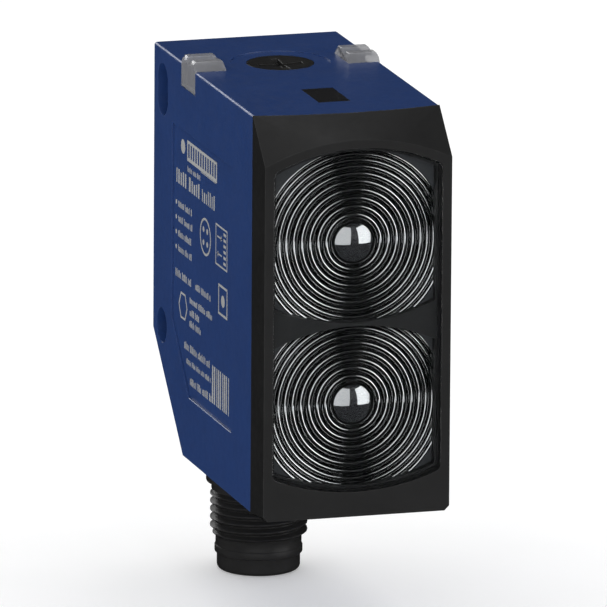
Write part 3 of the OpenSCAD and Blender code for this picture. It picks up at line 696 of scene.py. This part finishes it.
def make_label():
    rng = random.Random(12)
    plane = -HALF_W + LABEL_DEEP
    verts, faces = [], []

    def patch(points):
        """A thin flat printed shape, given as (Y, Z) round its outline."""
        n = len(points)
        start = len(verts)
        verts.extend((plane + INK_SUNK, y, z) for y, z in points)
        verts.extend((plane - INK_PROUD, y, z) for y, z in points)
        faces.append(tuple(range(start, start + n)))
        faces.append(tuple(range(start + 2 * n - 1, start + n - 1, -1)))
        for i in range(n):
            j = (i + 1) % n
            faces.append((start + i, start + n + i, start + n + j, start + j))

    def bar(y0, z0, y1, z1):
        patch([(y0, z0), (y1, z0), (y1, z1), (y0, z1)])

    def frame_of(y0, z0, y1, z1, t):
        """The outline, t wide, of a bar."""
        bar(y0, z0, y1, z0 + t)
        bar(y0, z1 - t, y1, z1)
        bar(y0, z0 + t, y0 + t, z1 - t)
        bar(y1 - t, z0 + t, y1, z1 - t)

    def ring_of(y, z, r, t, sides=32):
        """The outline, t wide, of a disc."""
        outer, inner = ([(y + u, z + v) for u, v in ring(q, sides)] for q in (r, r - t))
        for i in range(sides):
            j = (i + 1) % sides
            patch([outer[i], outer[j], inner[j], inner[i]])

    def disc(y, z, r, sides=20):
        patch([(y + u, z + v) for u, v in ring(r, sides)])

    def blocks(y_from, y_to, z0, z1):
        """A row of plain upright blocks in the place of writing, from y_from down to y_to."""
        height = z1 - z0
        y, in_group = y_from, 0
        while y - 0.2 * height > y_to:
            wide = min(rng.uniform(0.16, 0.4) * height, y - y_to)
            bar(y - wide, z0, y, z0 + rng.choice((0.72, 0.85, 1.0)) * height)
            y -= wide + 0.26 * height
            in_group += 1
            if in_group > rng.randrange(3, 8):
                y -= 0.4 * height
                in_group = 0

    # Blank nameplate with a slot pattern, and a dot beside it
    plate_y, plate_end = 15.8, 28.6
    bar(plate_y, 37.05, plate_end, 37.5)
    bar(plate_y, 39.25, plate_end, 39.6)
    slots, slot_bar = 13, 0.42
    for i in range(slots):
        y = plate_y + i * (plate_end - plate_y - slot_bar) / (slots - 1)
        bar(y, 37.5, y + slot_bar, 39.25)
    disc(30.4, 38.4, 0.9)
    bar(16.1, 36.9, 22.7, 37.0)
    blocks(28.4, 23.0, 35.75, 36.45)
    blocks(33.2, plate_y, 33.4, 35.2)
    # Four rows, each with a dot
    for drop in (1.86 * i for i in range(4)):
        disc(33.2, 30.9 - drop, 0.3, 12)
        blocks(32.3, 26.3, 30.5 - drop, 31.35 - drop)
    # Face of a four-pin plug
    plug_y, plug_z = 20.6, 29.3
    ring_of(plug_y, plug_z, 2.35, 0.3)
    for i in range(4):
        angle = math.pi / 4 + math.pi / 2 * i
        disc(plug_y + 1.15 * math.cos(angle), plug_z + 1.15 * math.sin(angle), 0.36)
    # Sensing pictogram: two arrows and a striped target
    frame_of(11.2, 27.0, 16.2, 32.1, 0.22)
    for i in range(6):
        bar(11.8, 27.6 + 0.72 * i, 12.8, 27.95 + 0.72 * i)
    for z, tip in ((30.6, -1), (28.5, 1)):
        bar(13.5, z - 0.09, 15.5, z + 0.09)
        end = 13.4 if tip < 0 else 15.6
        patch([(end, z), (end - tip * 0.55, z - 0.38), (end - tip * 0.55, z + 0.38)][::-tip])
    blocks(33.4, 26.4, 21.65, 22.6)
    blocks(24.8, 18.0, 21.75, 22.6)
    # Framed dot
    frame_of(11.05, 21.1, 14.9, 24.9, 0.3)
    disc(12.95, 23.0, 0.75)
    # Six-sided outline
    ring_of(30.1, 18.5, 1.9, 0.3, sides=6)
    blocks(27.2, 17.2, 19.55, 20.4)
    blocks(27.2, 22.9, 18.0, 18.85)
    blocks(27.2, 22.4, 16.6, 17.45)
    blocks(29.4, 18.2, 13.4, 14.35)
    blocks(28.5, 18.1, 11.7, 12.4)
    blocks(26.9, 17.7, 9.35, 10.3)
    # Striped block
    for i, y in enumerate(np.linspace(10.2, 16.9, 9)):
        bar(y, 9.4, y + (0.5 if i % 3 else 0.28), 14.1)
    mesh = outward("label_print", verts, faces)
    link_object("label_print", mesh, [INK], "sensor")


def finish_nodes():
    """Gives every CAD node that stays in view the finish of its slot."""
    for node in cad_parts.values():
        if not node.hide_render:
            slot = node.material_slots[0].material.name.split(".")[0]
            if slot in FINISH:
                node.material_slots[0].material = FINISH[slot]
    # The mask and optics block take the lighter copy of the black plastic, which is painted light
    for dark_node in ("lens_mask", "optics_block"):
        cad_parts[dark_node].material_slots[0].material = MASK_PAINTED_LIGHT


make_housing()
make_front()
for lens_name in LENS_HEIGHTS:
    make_lens(lens_name)
make_top()
make_plug()
make_label()
finish_nodes()


# ---- Stage, light and camera ----

MIDDLE = at((0, DEPTH / 3, HEIGHT / 2))
LIGHT_AWAY = 3.0
FLOOR_HALF = 6.0
FLOOR_GLOW = 0.2

AZIMUTH, ELEVATION, ROLL = -16.76, 13.49, 0.40
# In body heights: distance from the aim, the aim's place behind the seam, and its shift to the
# right and up from the middle
CAMERA_AWAY = 37.2576
AIM_Y = 0.3
AIM_RIGHT, AIM_UP = -0.015, -0.0552
FOCAL_MM, SENSOR_MM = 892.4, 36.0


def direction(azimuth, elevation):
    """Unit vector towards an azimuth, from the front to the right, and an elevation, in degrees."""
    a, e = math.radians(azimuth), math.radians(elevation)
    return Vector((math.sin(a) * math.cos(e), -math.cos(a) * math.cos(e), math.sin(e)))


def softbox(name, azimuths, elevations, radiance):
    """A rectangular light far away that fills the given spans of azimuth and elevation. It is there
    for reflections only, and the world gives the even light."""
    data = bpy.data.lights.new(name, "AREA")
    data.shape = "RECTANGLE"
    data.size, data.size_y = (2 * LIGHT_AWAY * math.tan(math.radians(high - low) / 2)
                              for low, high in (azimuths, elevations))
    data.energy = radiance * math.pi * data.size * data.size_y
    lamp = bpy.data.objects.new(name, data)
    bpy.context.scene.collection.objects.link(lamp)
    lamp.location = MIDDLE + direction(sum(azimuths) / 2, sum(elevations) / 2) * LIGHT_AWAY
    lamp.rotation_euler = (MIDDLE - lamp.location).to_track_quat("-Z", "Y").to_euler()
    lamp.visible_camera = False
    lamp.visible_diffuse = False


def lay_floor():
    """A pale floor that no gloss or glass shows."""
    floor_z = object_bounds()[0][2]
    mesh = bpy.data.meshes.new("floor")
    mesh.from_pydata([(FLOOR_HALF * x, FLOOR_HALF * y, floor_z)
                      for x, y in ((-1, -1), (1, -1), (1, 1), (-1, 1))], [], [(0, 1, 2, 3)])
    floor = bpy.data.objects.new("floor", mesh)
    mesh.materials.append(surface("floor_paper", (0.92, 0.92, 0.92), 0.8, grain=1.5, bump=0.02,
                                  blotch=0.008, blotch_size=300, Emission_Color=(1, 1, 1, 1),
                                  Emission_Strength=FLOOR_GLOW))
    bpy.context.scene.collection.objects.link(floor)
    floor.visible_glossy = False
    floor.visible_transmission = False


def light_world():
    """White surroundings that light the scene and fill the view, but show in no reflection."""
    world = bpy.data.worlds.new("studio")
    bpy.context.scene.world = world
    world.use_nodes = True
    filled(world.node_tree.nodes["Background"], Color=(1, 1, 1, 1), Strength=1.0)
    world.cycles_visibility.glossy = False
    world.cycles_visibility.transmission = False
    world.cycles_visibility.scatter = False
    bpy.context.scene.view_settings.view_transform = "Standard"


def place_camera():
    """The camera in the photograph's direction, rolled a little as the photograph's was."""
    back = direction(AZIMUTH, ELEVATION)
    right = back.cross(Vector((0, 0, -1))).normalized()
    up = back.cross(right)
    aim = at((0, AIM_Y * HEIGHT, 0.5 * HEIGHT)) + (AIM_RIGHT * right + AIM_UP * up) * HEIGHT * MM
    roll = math.radians(ROLL)
    turned_right = math.cos(roll) * right + math.sin(roll) * up
    turned_up = -math.sin(roll) * right + math.cos(roll) * up
    data = bpy.data.cameras.new("camera")
    data.lens = FOCAL_MM
    data.sensor_width = SENSOR_MM
    camera = bpy.data.objects.new("camera", data)
    bpy.context.scene.collection.objects.link(camera)
    placing = Matrix((turned_right, turned_up, back)).transposed().to_4x4()
    placing.translation = aim + back * (CAMERA_AWAY * HEIGHT * MM)
    camera.matrix_world = placing
    bpy.context.scene.camera = camera


softbox("box_left", (-47, 4), (-17, 36.5), 1.5)
softbox("box_right", (27, 70), (-15, 32), 2.8)
softbox("fill_front", (4, 27), (2, 36), 0.08)
softbox("strip_rear", (-176, -156), (6, 30), 4.5)
softbox("overhead", (0, 40), (80, 115), 2.0)
lay_floor()
light_world()
place_camera()
